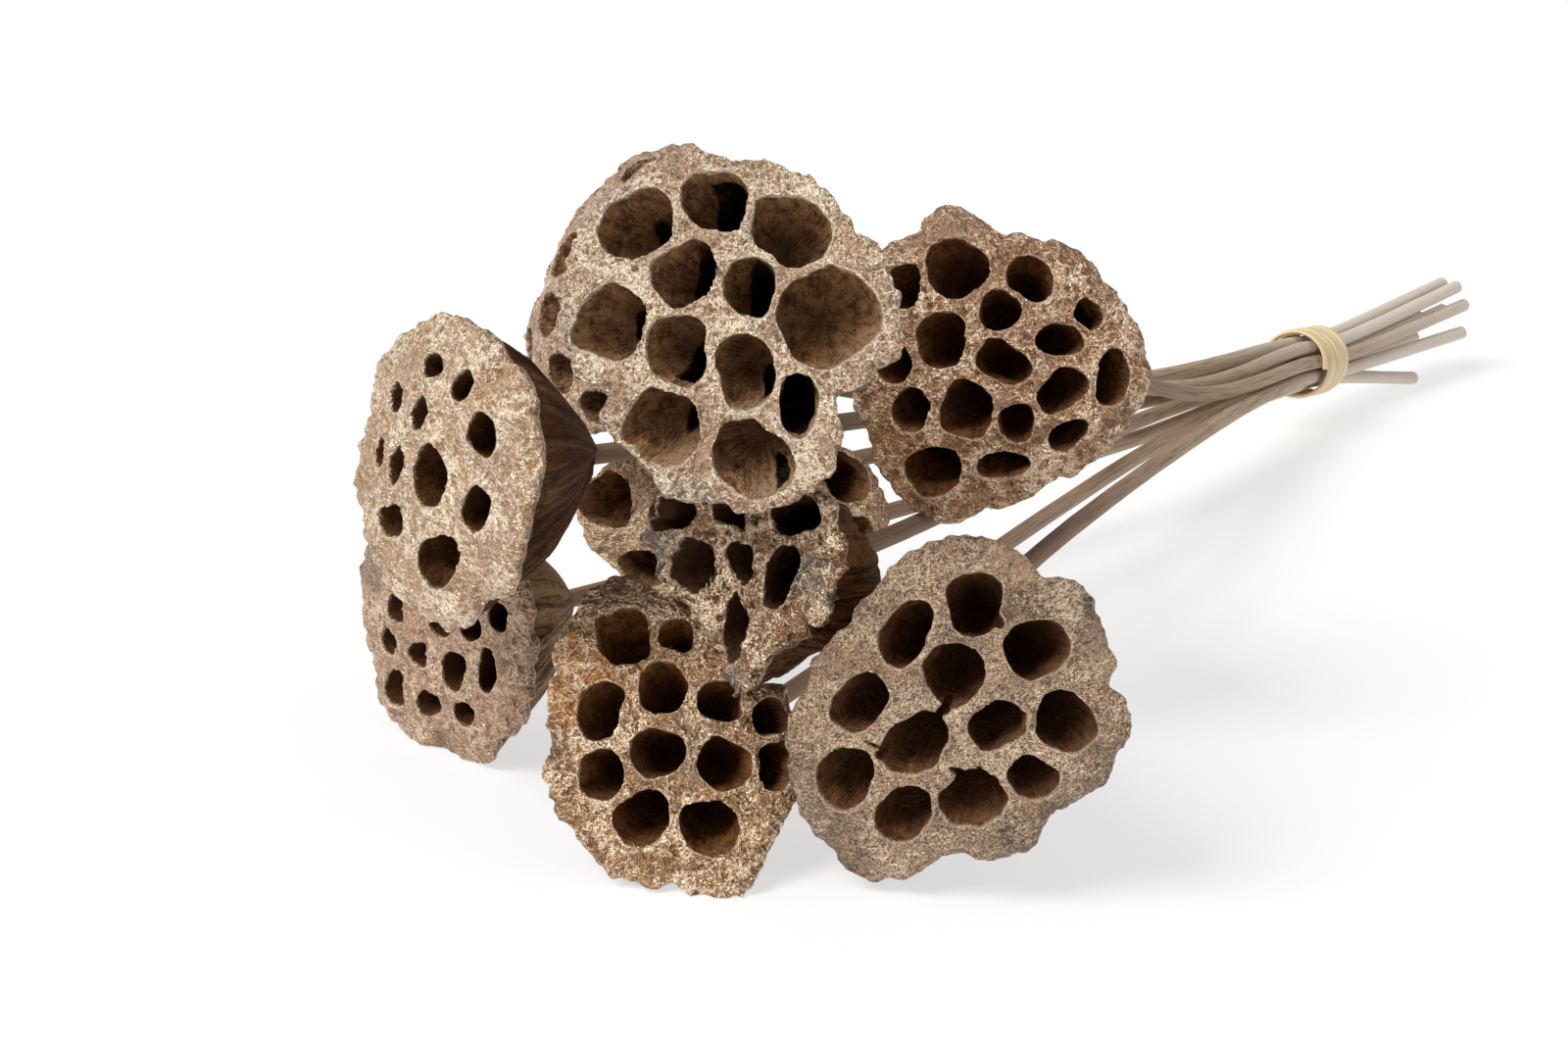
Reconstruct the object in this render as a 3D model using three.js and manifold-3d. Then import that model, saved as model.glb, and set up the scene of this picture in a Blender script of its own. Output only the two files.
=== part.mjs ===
// A bunch of nine dried lotus pods on their stems, lying on a table and held by a wound rubber band.
// Millimetres, +Z up. The stems run along +Y to their cut ends and the seed faces look to -Y.

import * as THREE from 'three';
import { mergeVertices } from 'three/addons/utils/BufferGeometryUtils.js';
import Module from 'manifold-3d';

// Driving dimensions

const BUNCH_SHIFT = [5.9, -4.4, 0]; // brings the middle of the bunch's box over the origin
const CLEARANCE = 0.3; // between pieces that touch
const WELD_WITHIN = 0.0001; // points nearer than this are one
const UNDER_TABLE = [1000, 40]; // width and depth of the block cut away below the table's surface

const POD_SIDES = 30;
const NECK_RADIUS = 4.2;
const LOBE_HEIGHT = 0.8; // of the small lobes round a rim, which run down the flank as ribs
const LOBES = [8, 13]; // lobes in one turn, two waves laid over each other
const EDGE_HEIGHT = 1.3; // how far a rim rises and falls
const WAVE_SHARES = [0.6, 0.4]; // of the two waves that make the lobes, and those of the edge
const EDGE_WAVES = [3, 5]; // in one turn
const CREASE_AT = -0.25; // sideways, as a share of the rim radius
const CREASE_WIDTH = 0.16;
const FACE_RINGS = [0.5, 0.93]; // shares of the rim radius
const FLANK_RINGS = [ // [share of the rim radius left, share of the depth]
  [1, 0.05], [0.93, 0.16], [0.77, 0.36], [0.52, 0.6], [0.25, 0.82], [0, 1],
];

const PIT_SIDES = 8;
const PIT_DEPTH = 15;
const PIT_LEAN = 0.72; // share by which pits run together towards the neck
const PIT_RINGS = [[-3, 1.13], [12, 0.68]]; // [depth, share of the mouth's size]
const PIT_RAGGED = 0.12; // how uneven the outline of a pit is

const STEM_RADIUS = 2.3;
const STEM_SIDES = 8;
const STEM_STEPS = 14;
const STEM_STRAIGHT = 30; // leaves the neck straight for this far

const TIE_AT = [-1, 159, 23.5];
const TIE_SLOPE = 8; // degrees that the bunch falls towards the cut ends
const TIE_TURNS = 6;
const TIE_PITCH = 3.8;
const TIE_SIDES = 24;
const TIE_BAND = [1, 1.9]; // thickness between the turns and on them
const TURN_PROFILE = [[0.1, false], [0.35, true], [0.75, true]]; // [share of the pitch, on the turn]
const TIE_MARGIN = 8; // the stems run straight for this far on each side of the tie
const SLOT_RADIUS = 7.1; // of the outer ring of stems inside the tie
const INNER_REACH = 0.27; // share of that radius for the stem in the middle
const GATHER_AT = 128; // before the tie, where the stems have drawn together

// Each pod: centre of its seed face, which way it looks (turn about Z from -Y, tilt upwards, degrees),
// face to neck depth, rise of the face, swell of the flank as [angle on the face, size], rim radii
// anticlockwise from its right, and its seed pits as [right, up, width, height, turn] on the face.
// Its stem: slot angle in the tie, where it passes before the tie and where it is cut, both as [right, up]
// from the bunch's axis; the third number of the cut is its distance past the tie.

const PODS = [
  {
    name: 'left', at: [-48, -248, 83], turn: -18, tilt: 5, depth: 37, dome: 3,
    rim: [32, 34, 36, 36, 35, 33.5, 33.5, 34.5, 36.5, 38.5, 38, 38, 36, 33, 31, 31],
    pits: [
      [-3.5, 23, 6.5, 5, 26], [7.8, 21, 8.7, 5.5, 43], [-16.7, 13.3, 5, 7, -37],
      [-6.7, 12.5, 5.3, 8.8, -30], [15.4, 12, 8.7, 9], [-23.5, -0.5, 5, 7, -20],
      [-15.3, -1.5, 6.2, 9.2, -35], [-1.4, -0.5, 11.7, 14, -23], [15, -4, 8, 11.5, -31],
      [-17.5, -14.7, 11.8, 7, 14], [1, -19, 16, 11, 35],
    ],
    stem: { slot: 105, gather: [-3, 5], cut: [12, 22.5, 106] }, colour: 0xb8946a,
  },
  {
    name: 'low_left', at: [-76, -215, 31], turn: -12, tilt: 3, depth: 36, dome: 2,
    rim: [29, 31, 33, 32, 32, 31, 32, 35, 33.5, 33, 37, 35, 33, 32.5, 31, 30],
    pits: [
      [-8.5, -7.5, 7.6, 6.5, 12], [4.4, -8.4, 7.7, 10, -18], [15.7, -5.7, 5.8, 11, -8],
      [-18, -18.6, 6.8, 10.7, -23], [-5.6, -19, 8.3, 6.2, 28], [7.6, -18, 7.5, 6, 19], [-20.5, -7, 6, 7],
      [-17, 2, 7, 7], [10.5, 4, 7, 7], [19, 8.5, 6, 6.5], [0, 3, 8, 7], [-16.5, 14, 8, 8],
      [-4.5, 14, 9, 9], [7.5, 15, 9, 9], [-7.5, 24.5, 8, 7], [8, 25.5, 8, 6],
    ],
    stem: { slot: 240, gather: [-12, -16.5], cut: [8, 3, 92] }, colour: 0x8a6446,
  },
  {
    name: 'top', at: [16, -233, 119], turn: 18, tilt: 13, depth: 39, dome: -3,
    rim: [35, 34, 34, 35, 36, 39, 40, 40, 38, 35, 35, 36, 37, 37, 33, 29],
    pits: [
      [-22.3, 20.8, 16, 12.6, 30], [-5.7, 26, 14.5, 11, -7], [10.1, 20.9, 17.3, 12.5, -17],
      [-11.8, 11.4, 14, 11.5, 39], [1.9, 9.2, 10.4, 12.4, 3], [-26.8, 0.4, 13, 15.2, -23],
      [-12.4, -4.2, 12.2, 14.6, 8], [1.9, -7.8, 11.6, 15.4, 13], [18.4, 4.2, 20, 19.6, 32],
      [13.4, -13.8, 7.8, 12.4], [-14.9, -20.3, 15.3, 15], [4.2, -25.5, 17.5, 14, -28],
    ],
    stem: { slot: 60, gather: [5, 3], cut: [18, 22, 104] }, colour: 0xb09068,
  },
  {
    name: 'top_back', at: [-65, -158, 103], turn: -30, tilt: 28, depth: 36, dome: 12,
    rim: [38, 38, 39, 40, 40, 39, 38, 38, 38, 39, 39, 38, 37, 37, 37, 38],
    pits: [
      [-21, 24, 13, 11], [-6, 29.5, 13, 10], [10, 27, 12, 11], [24, 20, 11, 11], [-27, 9.5, 11, 11],
      [-4, 16, 13, 11], [9, 13, 11, 11], [-12, 3, 14, 12], [4, 0, 12, 11], [18, -1, 12, 12], [31, 5, 9, 12],
      [-26, -6.5, 12, 11], [-8, -12, 13, 11], [8, -12, 11, 9], [22, -14, 12, 11], [-21, -22, 12, 11],
      [4, -23.5, 12, 10], [18.5, -27, 12, 9], [-6, -32, 9, 6.5],
    ],
    stem: { slot: 150, gather: [-10.5, 1], cut: [5.5, 17, 98] }, colour: 0x9c7a56,
  },
  {
    name: 'middle_back', at: [-39, -152, 47], turn: 22, tilt: 8, depth: 36, dome: 2,
    rim: [41, 40, 31, 21, 19, 21, 25, 33, 38, 32, 28.5, 32, 34, 30, 31, 38],
    pits: [
      [-29, 4, 14, 14], [31, 13, 12, 13], [-20, -13, 12, 10], [-12, 2, 12, 12], [3, 10, 12, 12],
      [16, 14, 11, 12], [18, -2, 12, 12], [3, -6, 12, 12], [33, -3, 10, 12], [-6, -20, 12, 11],
      [9, -20, 12, 11],
    ],
    stem: { slot: 195, gather: [-14, -5.5], cut: [6, 10, 100] }, colour: 0x7d5b40,
  },
  {
    name: 'middle', at: [15, -228.5, 66.5], turn: -7, tilt: 8, depth: 34, dome: -2,
    crease: 2.5, swell: [-30, 6.5],
    rim: [23.5, 26, 27.5, 21, 18, 18, 21, 28, 29, 23.5, 20.5, 22, 26, 20.5, 18.5, 21.5],
    pits: [
      [-21, 8.5, 13, 8, 24], [-15.5, -2.5, 10, 11], [-3, 0.5, 9, 9.5], [8.2, 0.5, 7.5, 15, -17],
      [-2.9, -13.7, 7.4, 14, -5], [11.5, 14, 13, 8, 20], [-6, 11, 8, 6.5],
    ],
    stem: { slot: 350, reach: INNER_REACH, straight: 8, gather: [-4.5, -7.5], cut: [14, 13, 104] },
    colour: 0xa08a70,
  },
  {
    name: 'bottom', at: [4, -238, 29.5], turn: 28, tilt: 28, depth: 34, dome: 1,
    rim: [26, 24, 18, 18, 28, 38, 36, 31, 29, 30, 31, 32.5, 33.5, 36, 31, 28],
    pits: [
      [-12.4, 21.5, 11.5, 13, 12], [-1, 22, 7.5, 8], [-3.5, 10.2, 10, 11.5, 10],
      [-16.8, 5.5, 9.7, 12.6, -18], [9, 7.8, 9.5, 9], [20, 4.8, 8.5, 8.5], [-4.3, -3.5, 11.5, 10, -6],
      [-16, -8.3, 9.5, 10.4], [10.2, -5.7, 11.5, 10.7, -22], [21, -5.5, 8, 10.5],
      [-7.1, -17.5, 12.7, 10.7, 36], [7.5, -19, 13, 11.2, -4],
    ],
    stem: { slot: 285, straight: 8, gather: [3, -13], cut: [13, -10.5, 80] }, colour: 0xb79a74,
  },
  {
    name: 'bottom_right', at: [64, -225, 44], turn: 20, tilt: 0, depth: 40, dome: 2,
    rim: [36, 34, 38, 37, 38, 33, 31, 30, 34, 39, 44, 45, 35, 34.5, 31.5, 34],
    pits: [
      [-10.7, 16.2, 9.4, 15, -23], [3.2, 23.9, 10.7, 13.7, -9], [16, 15, 13.5, 11.6, 44],
      [-0.5, 8.6, 12, 13.4, -27], [-20, 0.5, 9.7, 14.8, -37], [-8.3, -7.7, 11.3, 15.6, -45],
      [8.5, -2.3, 12.6, 9.7, 37], [22.4, -0.6, 11.8, 13.3, 44], [-23, -16.8, 11.3, 14.5, -27],
      [-10.7, -24, 10.2, 15, -28], [4, -19, 14.5, 12.3, 36], [16, -13.5, 10.8, 9.8, -13],
    ],
    stem: { slot: 330, gather: [18, -6], cut: [23, 6, 100] }, colour: 0xb39c84,
  },
  {
    name: 'right', at: [33, -146, 95], turn: 22, tilt: 10, depth: 40, dome: 6,
    rim: [35, 32, 31.5, 31, 31, 38, 38.5, 38, 36, 35, 38, 40.5, 34.5, 30, 31.5, 33],
    pits: [
      [-11, 22.2, 14.3, 13.5, -25], [-23, 17.5, 10, 10], [6.3, 20.2, 11.2, 8.5, -45], [0, 13, 9.2, 9.3],
      [19.8, 12.6, 7.3, 6, -44], [-13.2, 5.5, 11.3, 12.6], [13.4, 6.7, 11.2, 7.3],
      [1, 1.2, 12.8, 8.4, -30], [-24, -0.5, 8.5, 9], [14.5, -5, 12.3, 8.3, 35], [25.7, -1.8, 8.4, 13, -6],
      [-20, -10.8, 9, 11.2, -16], [-6.9, -10.2, 11.6, 13.3, -18], [4.6, -12.6, 8.3, 9.2],
      [16.2, -15.2, 10, 6.3, 36], [-14.5, -25, 14.3, 11.3, 35], [1.8, -22.7, 12.2, 6.4, 6],
    ],
    stem: { slot: 15, gather: [11.5, 2], cut: [21, 15.5, 106] }, colour: 0x9f7a50,
  },
];

const wasm = await Module();
wasm.setup();

const radians = THREE.MathUtils.degToRad;

// The same pseudo-random share, 0 to 1, for the same pair of numbers.
function share(a, b) {
  const wide = Math.sin(a * 12.9898 + b * 78.233) * 43758.5453;
  return wide - Math.floor(wide);
}

// Solids and meshes

function solidOf(points, triangles) {
  const vertProperties = new Float32Array(points.flat());
  const triVerts = new Uint32Array(triangles.flat());
  return new wasm.Manifold(new wasm.Mesh({ numProp: 3, vertProperties, triVerts }));
}

function geometryOf(solid) {
  const { numProp, vertProperties, triVerts } = solid.getMesh();
  const geometry = new THREE.BufferGeometry();
  geometry.setAttribute('position', new THREE.BufferAttribute(vertProperties, numProp));
  geometry.setIndex(new THREE.BufferAttribute(triVerts, 1));
  geometry.computeVertexNormals();
  return geometry;
}

function solidOfGeometry(geometry) {
  const bare = geometry.clone();
  bare.deleteAttribute('normal');
  bare.deleteAttribute('uv');
  const merged = mergeVertices(bare, WELD_WITHIN);
  const vertProperties = merged.attributes.position.array;
  const triVerts = new Uint32Array(merged.index.array);
  return new wasm.Manifold(new wasm.Mesh({ numProp: 3, vertProperties, triVerts }));
}

// Closes a stack of rings of equal length with a fan to a point at each end.
function loft(rings, first, last) {
  const sides = rings[0].length;
  const points = [first, ...rings.flat(), last];
  const triangles = [];
  for (let side = 0; side < sides; side += 1) {
    const next = (side + 1) % sides;
    triangles.push([0, 1 + side, 1 + next]);
    for (let ring = 0; ring + 1 < rings.length; ring += 1) {
      const near = 1 + ring * sides;
      const far = near + sides;
      triangles.push([near + side, far + side, far + next]);
      triangles.push([near + side, far + next, near + next]);
    }
    const end = 1 + (rings.length - 1) * sides;
    triangles.push([points.length - 1, end + next, end + side]);
  }
  return solidOf(points, triangles);
}

// A pod's own frame: x to the right and y upwards on its face, z out of the face.
function facing(pod) {
  const turn = radians(pod.turn);
  const tilt = radians(pod.tilt);
  const out = new THREE.Vector3(
    Math.sin(turn) * Math.cos(tilt), -Math.cos(turn) * Math.cos(tilt), Math.sin(tilt));
  const up = new THREE.Vector3(0, 0, 1).addScaledVector(out, -out.z).normalize();
  const right = new THREE.Vector3().crossVectors(up, out);
  const frame = new THREE.Matrix4().makeBasis(right, up, out);
  return frame.setPosition(new THREE.Vector3(...pod.at).add(new THREE.Vector3(...BUNCH_SHIFT)));
}

// Pod heads

function rimRadius(pod, angle) {
  const count = pod.rim.length;
  const place = ((angle / (2 * Math.PI)) * count + count) % count;
  const step = Math.floor(place);
  const [a, b, c, d] = [-1, 0, 1, 2].map((shift) => pod.rim[(step + shift + count) % count]);
  const t = place - step;
  return b + 0.5 * t * (c - a + t * (2 * a - 5 * b + 4 * c - d + t * (3 * (b - c) + d - a)));
}

function twoWaves(angle, counts, start) {
  const [few, many] = WAVE_SHARES;
  return few * Math.cos(counts[0] * angle + start) + many * Math.cos(counts[1] * angle + 2 * start);
}

function lobe(pod, angle) {
  return LOBE_HEIGHT * twoWaves(angle, LOBES, 2 * Math.PI * share(pod.seed, 1));
}

function edgeWave(pod, angle) {
  return EDGE_HEIGHT * twoWaves(angle, EDGE_WAVES, 2 * Math.PI * share(pod.seed, 2));
}

// Height of the seed face at a share of the rim radius.
function faceHeight(pod, angle, reach) {
  const fromCrease = (reach * Math.cos(angle) - CREASE_AT) / CREASE_WIDTH;
  const crease = (pod.crease ?? 0) * Math.exp(-(fromCrease ** 2));
  return pod.dome * (1 - reach ** 2) + edgeWave(pod, angle) * reach ** 3 - crease;
}

// How far one side of a flank swells out.
function swell(pod, angle, left) {
  const [middle, size] = pod.swell ?? [0, 0];
  const towards = Math.max(0, Math.cos(angle - radians(middle)));
  return 4 * size * towards ** 2 * left * (1 - left);
}

function podBody(pod) {
  const angles = Array.from({ length: POD_SIDES }, (_, side) => (2 * Math.PI * side) / POD_SIDES);
  const faceRings = FACE_RINGS.map((reach) => angles.map((angle) => {
    const radius = reach * (rimRadius(pod, angle) + lobe(pod, angle));
    return [radius * Math.cos(angle), radius * Math.sin(angle), faceHeight(pod, angle, reach)];
  }));
  const flankRings = FLANK_RINGS.map(([left, fall]) => angles.map((angle) => {
    const rim = rimRadius(pod, angle) + lobe(pod, angle) * left;
    const radius = NECK_RADIUS + (rim - NECK_RADIUS) * left + swell(pod, angle, left);
    const height = edgeWave(pod, angle) * (1 - fall) ** 2 - fall * pod.depth;
    return [radius * Math.cos(angle), radius * Math.sin(angle), height];
  }));
  return loft([...faceRings, ...flankRings], [0, 0, faceHeight(pod, 0, 0)], [0, 0, -pod.depth]);
}

const middleOfFace = new THREE.Vector2();

function podPit(pod, [x, y, width, height, turn = 0], place) {
  const angle = Math.atan2(y, x);
  const reach = Math.hypot(x, y) / rimRadius(pod, angle);
  const mouth = faceHeight(pod, angle, reach);
  const rings = PIT_RINGS.map(([depth, size]) => {
    const lean = 1 - (PIT_LEAN * depth) / pod.depth;
    return Array.from({ length: PIT_SIDES }, (_, side) => {
      const around = (2 * Math.PI * side) / PIT_SIDES;
      const ragged = size * (1 + PIT_RAGGED * (share(pod.seed + place, 100 + side) - 0.5));
      const off = new THREE.Vector2(width * Math.cos(around), height * Math.sin(around));
      off.multiplyScalar(0.5 * ragged).rotateAround(middleOfFace, radians(turn));
      return [x * lean + off.x, y * lean + off.y, mouth - depth];
    });
  });
  const middle = (ring) => [0, 1, 2].map(
    (axis) => ring.reduce((sum, point) => sum + point[axis], 0) / ring.length);
  const bottom = middle(rings.at(-1));
  bottom[2] = mouth - PIT_DEPTH;
  return loft(rings, middle(rings[0]), bottom);
}

// What would reach under the table is cut flat at Z = 0, which gives the bunch its resting spots.
const [underWidth, underDepth] = UNDER_TABLE;
const underTable = solidOfGeometry(
  new THREE.BoxGeometry(underWidth, underWidth, underDepth).translate(0, 0, -underDepth / 2));

function podHead(pod) {
  const pits = pod.pits.map((pit, place) => podPit(pod, pit, place));
  const cutAway = pits.reduce((all, pit) => all.add(pit));
  return podBody(pod).subtract(cutAway).transform(facing(pod).elements).subtract(underTable);
}

// Stems and tie

const tieFrame = new THREE.Matrix4().makeRotationX(-radians(TIE_SLOPE));
tieFrame.setPosition(new THREE.Vector3(...TIE_AT).add(new THREE.Vector3(...BUNCH_SHIFT)));
const tieLength = TIE_TURNS * TIE_PITCH;

function alongBunch(right, up, along) {
  return new THREE.Vector3(right, along, up).applyMatrix4(tieFrame);
}

function stem(pod) {
  const { slot, reach = 1, straight = STEM_STRAIGHT, gather, cut } = pod.stem;
  const neck = facing(pod);
  const right = reach * Math.cos(radians(slot));
  const up = reach * Math.sin(radians(slot));
  const path = new THREE.CatmullRomCurve3([
    new THREE.Vector3(0, 0, -pod.depth - CLEARANCE).applyMatrix4(neck),
    new THREE.Vector3(0, 0, -pod.depth - straight).applyMatrix4(neck),
    alongBunch(...gather, -GATHER_AT),
    alongBunch(SLOT_RADIUS * right, SLOT_RADIUS * up, -tieLength / 2 - TIE_MARGIN),
    alongBunch(SLOT_RADIUS * right, SLOT_RADIUS * up, tieLength / 2 + TIE_MARGIN),
    alongBunch(...cut),
  ]);
  const round = new THREE.Shape(Array.from({ length: STEM_SIDES }, (_, side) => {
    const angle = (2 * Math.PI * (side + 0.5)) / STEM_SIDES;
    return new THREE.Vector2(STEM_RADIUS * Math.cos(angle), STEM_RADIUS * Math.sin(angle));
  }));
  const tube = new THREE.ExtrudeGeometry(round, { steps: STEM_STEPS, extrudePath: path });
  return solidOfGeometry(tube).subtract(underTable);
}

function tieBand() {
  const inside = SLOT_RADIUS + STEM_RADIUS + 2 * CLEARANCE;
  const [thin, thick] = TIE_BAND;
  const halfLength = tieLength / 2;
  const outline = [new THREE.Vector2(inside, -halfLength)];
  for (let turn = 0; turn < TIE_TURNS; turn += 1) {
    for (const [along, raised] of TURN_PROFILE) {
      const thickness = raised ? thick : thin;
      outline.push(new THREE.Vector2(inside + thickness, (turn + along) * TIE_PITCH - halfLength));
    }
  }
  outline.push(new THREE.Vector2(inside, halfLength), outline[0].clone());
  return new THREE.LatheGeometry(outline, TIE_SIDES).applyMatrix4(tieFrame);
}

// The bunch

const POD_LOOK = { roughness: 0.5, metalness: 0.3 };
const STEM_LOOK = { color: 0xa58d74, roughness: 0.75, metalness: 0 };
const TIE_LOOK = { color: 0xe0c898, roughness: 0.6, metalness: 0 };

const bunch = new THREE.Group();

function addPiece(name, geometry, look) {
  const piece = new THREE.Mesh(geometry, new THREE.MeshStandardMaterial(look));
  piece.name = name;
  bunch.add(piece);
}

PODS.forEach((pod, place) => {
  pod.seed = place + 1;
  addPiece(`${pod.name}_pod`, geometryOf(podHead(pod)), { ...POD_LOOK, color: pod.colour });
  addPiece(`${pod.name}_stem`, geometryOf(stem(pod)), STEM_LOOK);
});
addPiece('tie_band', tieBand(), TIE_LOOK);

export default bunch;
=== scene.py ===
"""A tied bunch of dried lotus pods, dressed for rendering.

The pods, stems and band are modelled in millimetres, from the sizes of the CAD part, and are brought to
metres at the end of their trees. A pod is an implicit solid: a cone with a wavy rim, less its pits.
"""

import math

import bpy
from mathutils import Euler, Matrix, Vector


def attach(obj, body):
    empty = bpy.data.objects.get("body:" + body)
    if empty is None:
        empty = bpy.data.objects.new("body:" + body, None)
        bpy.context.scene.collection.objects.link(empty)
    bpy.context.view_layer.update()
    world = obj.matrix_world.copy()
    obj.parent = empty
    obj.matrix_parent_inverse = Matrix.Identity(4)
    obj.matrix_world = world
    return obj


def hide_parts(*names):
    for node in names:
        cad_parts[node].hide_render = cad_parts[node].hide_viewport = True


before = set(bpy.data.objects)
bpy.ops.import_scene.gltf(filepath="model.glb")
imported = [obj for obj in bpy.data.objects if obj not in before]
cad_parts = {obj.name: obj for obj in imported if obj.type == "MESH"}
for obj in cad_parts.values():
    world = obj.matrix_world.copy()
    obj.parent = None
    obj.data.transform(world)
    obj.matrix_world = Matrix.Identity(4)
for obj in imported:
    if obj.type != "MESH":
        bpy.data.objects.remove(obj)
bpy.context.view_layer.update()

# Sizes shared with the CAD part, in millimetres and degrees

MM = 0.001
BUNCH_SHIFT = Vector((5.9, -4.4, 0))

NECK_RADIUS = 4.2
LOBE_HEIGHT = 0.8
LOBES = (8, 13)
EDGE_HEIGHT = 1.3
EDGE_WAVES = (3, 5)
WAVE_SHARES = (0.6, 0.4)
CREASE_AT = -0.25
CREASE_WIDTH = 0.16
FLANK_POWER = 1.45  # follows the flank rings of the CAD part
PIT_TOP = -3
PIT_DEPTH = 15
PIT_LEAN = 0.72

STEM_RADIUS = 2.3
STEM_STRAIGHT = 30
TIE_AT = Vector((-1, 159, 23.5))
TIE_SLOPE = 8
TIE_LENGTH = 22.8  # six turns
TIE_MARGIN = 8
SLOT_RADIUS = 7.1
INNER_REACH = 0.27
GATHER_AT = 128

# Finer detail than the CAD part has

VOXEL = 0.545
FAR = 100.0
RIM_STEPS = 96
POD_MARGIN = 4  # room round a pod for its wrinkles
RIM_WRINKLE = 1.5
FINE_RIM_WRINKLE = 0.25
FLANK_SLANT = 0.8  # of a distance across the pod, measured square to its sloping flank
OVERHANG = 1.6  # the rim stands out over the flank
ROLL_FROM = 0.84  # share of the rim's radius where the face starts to roll down
ROLL_DROP = 60
LIP_HEIGHT = 0.4
SEED_STEP = (173, 71)  # moves each pod to its own part of the noise
PIT_LOBE = 0.04
PIT_SQUARENESS = 2.3
PIT_BEND = 2.6
PIT_WALL = 1.2  # least thickness between a pit and the flank
SEPTUM = 1.5  # least thickness between two pits
STEM_POINTS = 120
STEM_SUNK = 2.5  # a stem starts this far inside its pod's neck

# Each pod follows its solid in the CAD part, with the record's slot for its finish. Its rim is a row of
# radii, anticlockwise from the right, and a notch in it is (angle, depth, width). A swell of the flank is
# (angle, height). A pit is (right, up, width, height, turn). A hollow is a further opening in a pit, or a
# tear beside it, with the depths at which it starts and ends after those five numbers. Some pits are deeper
# or shallower than in the CAD part, and the middle and bottom pods are a little fuller where they meet.

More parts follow.
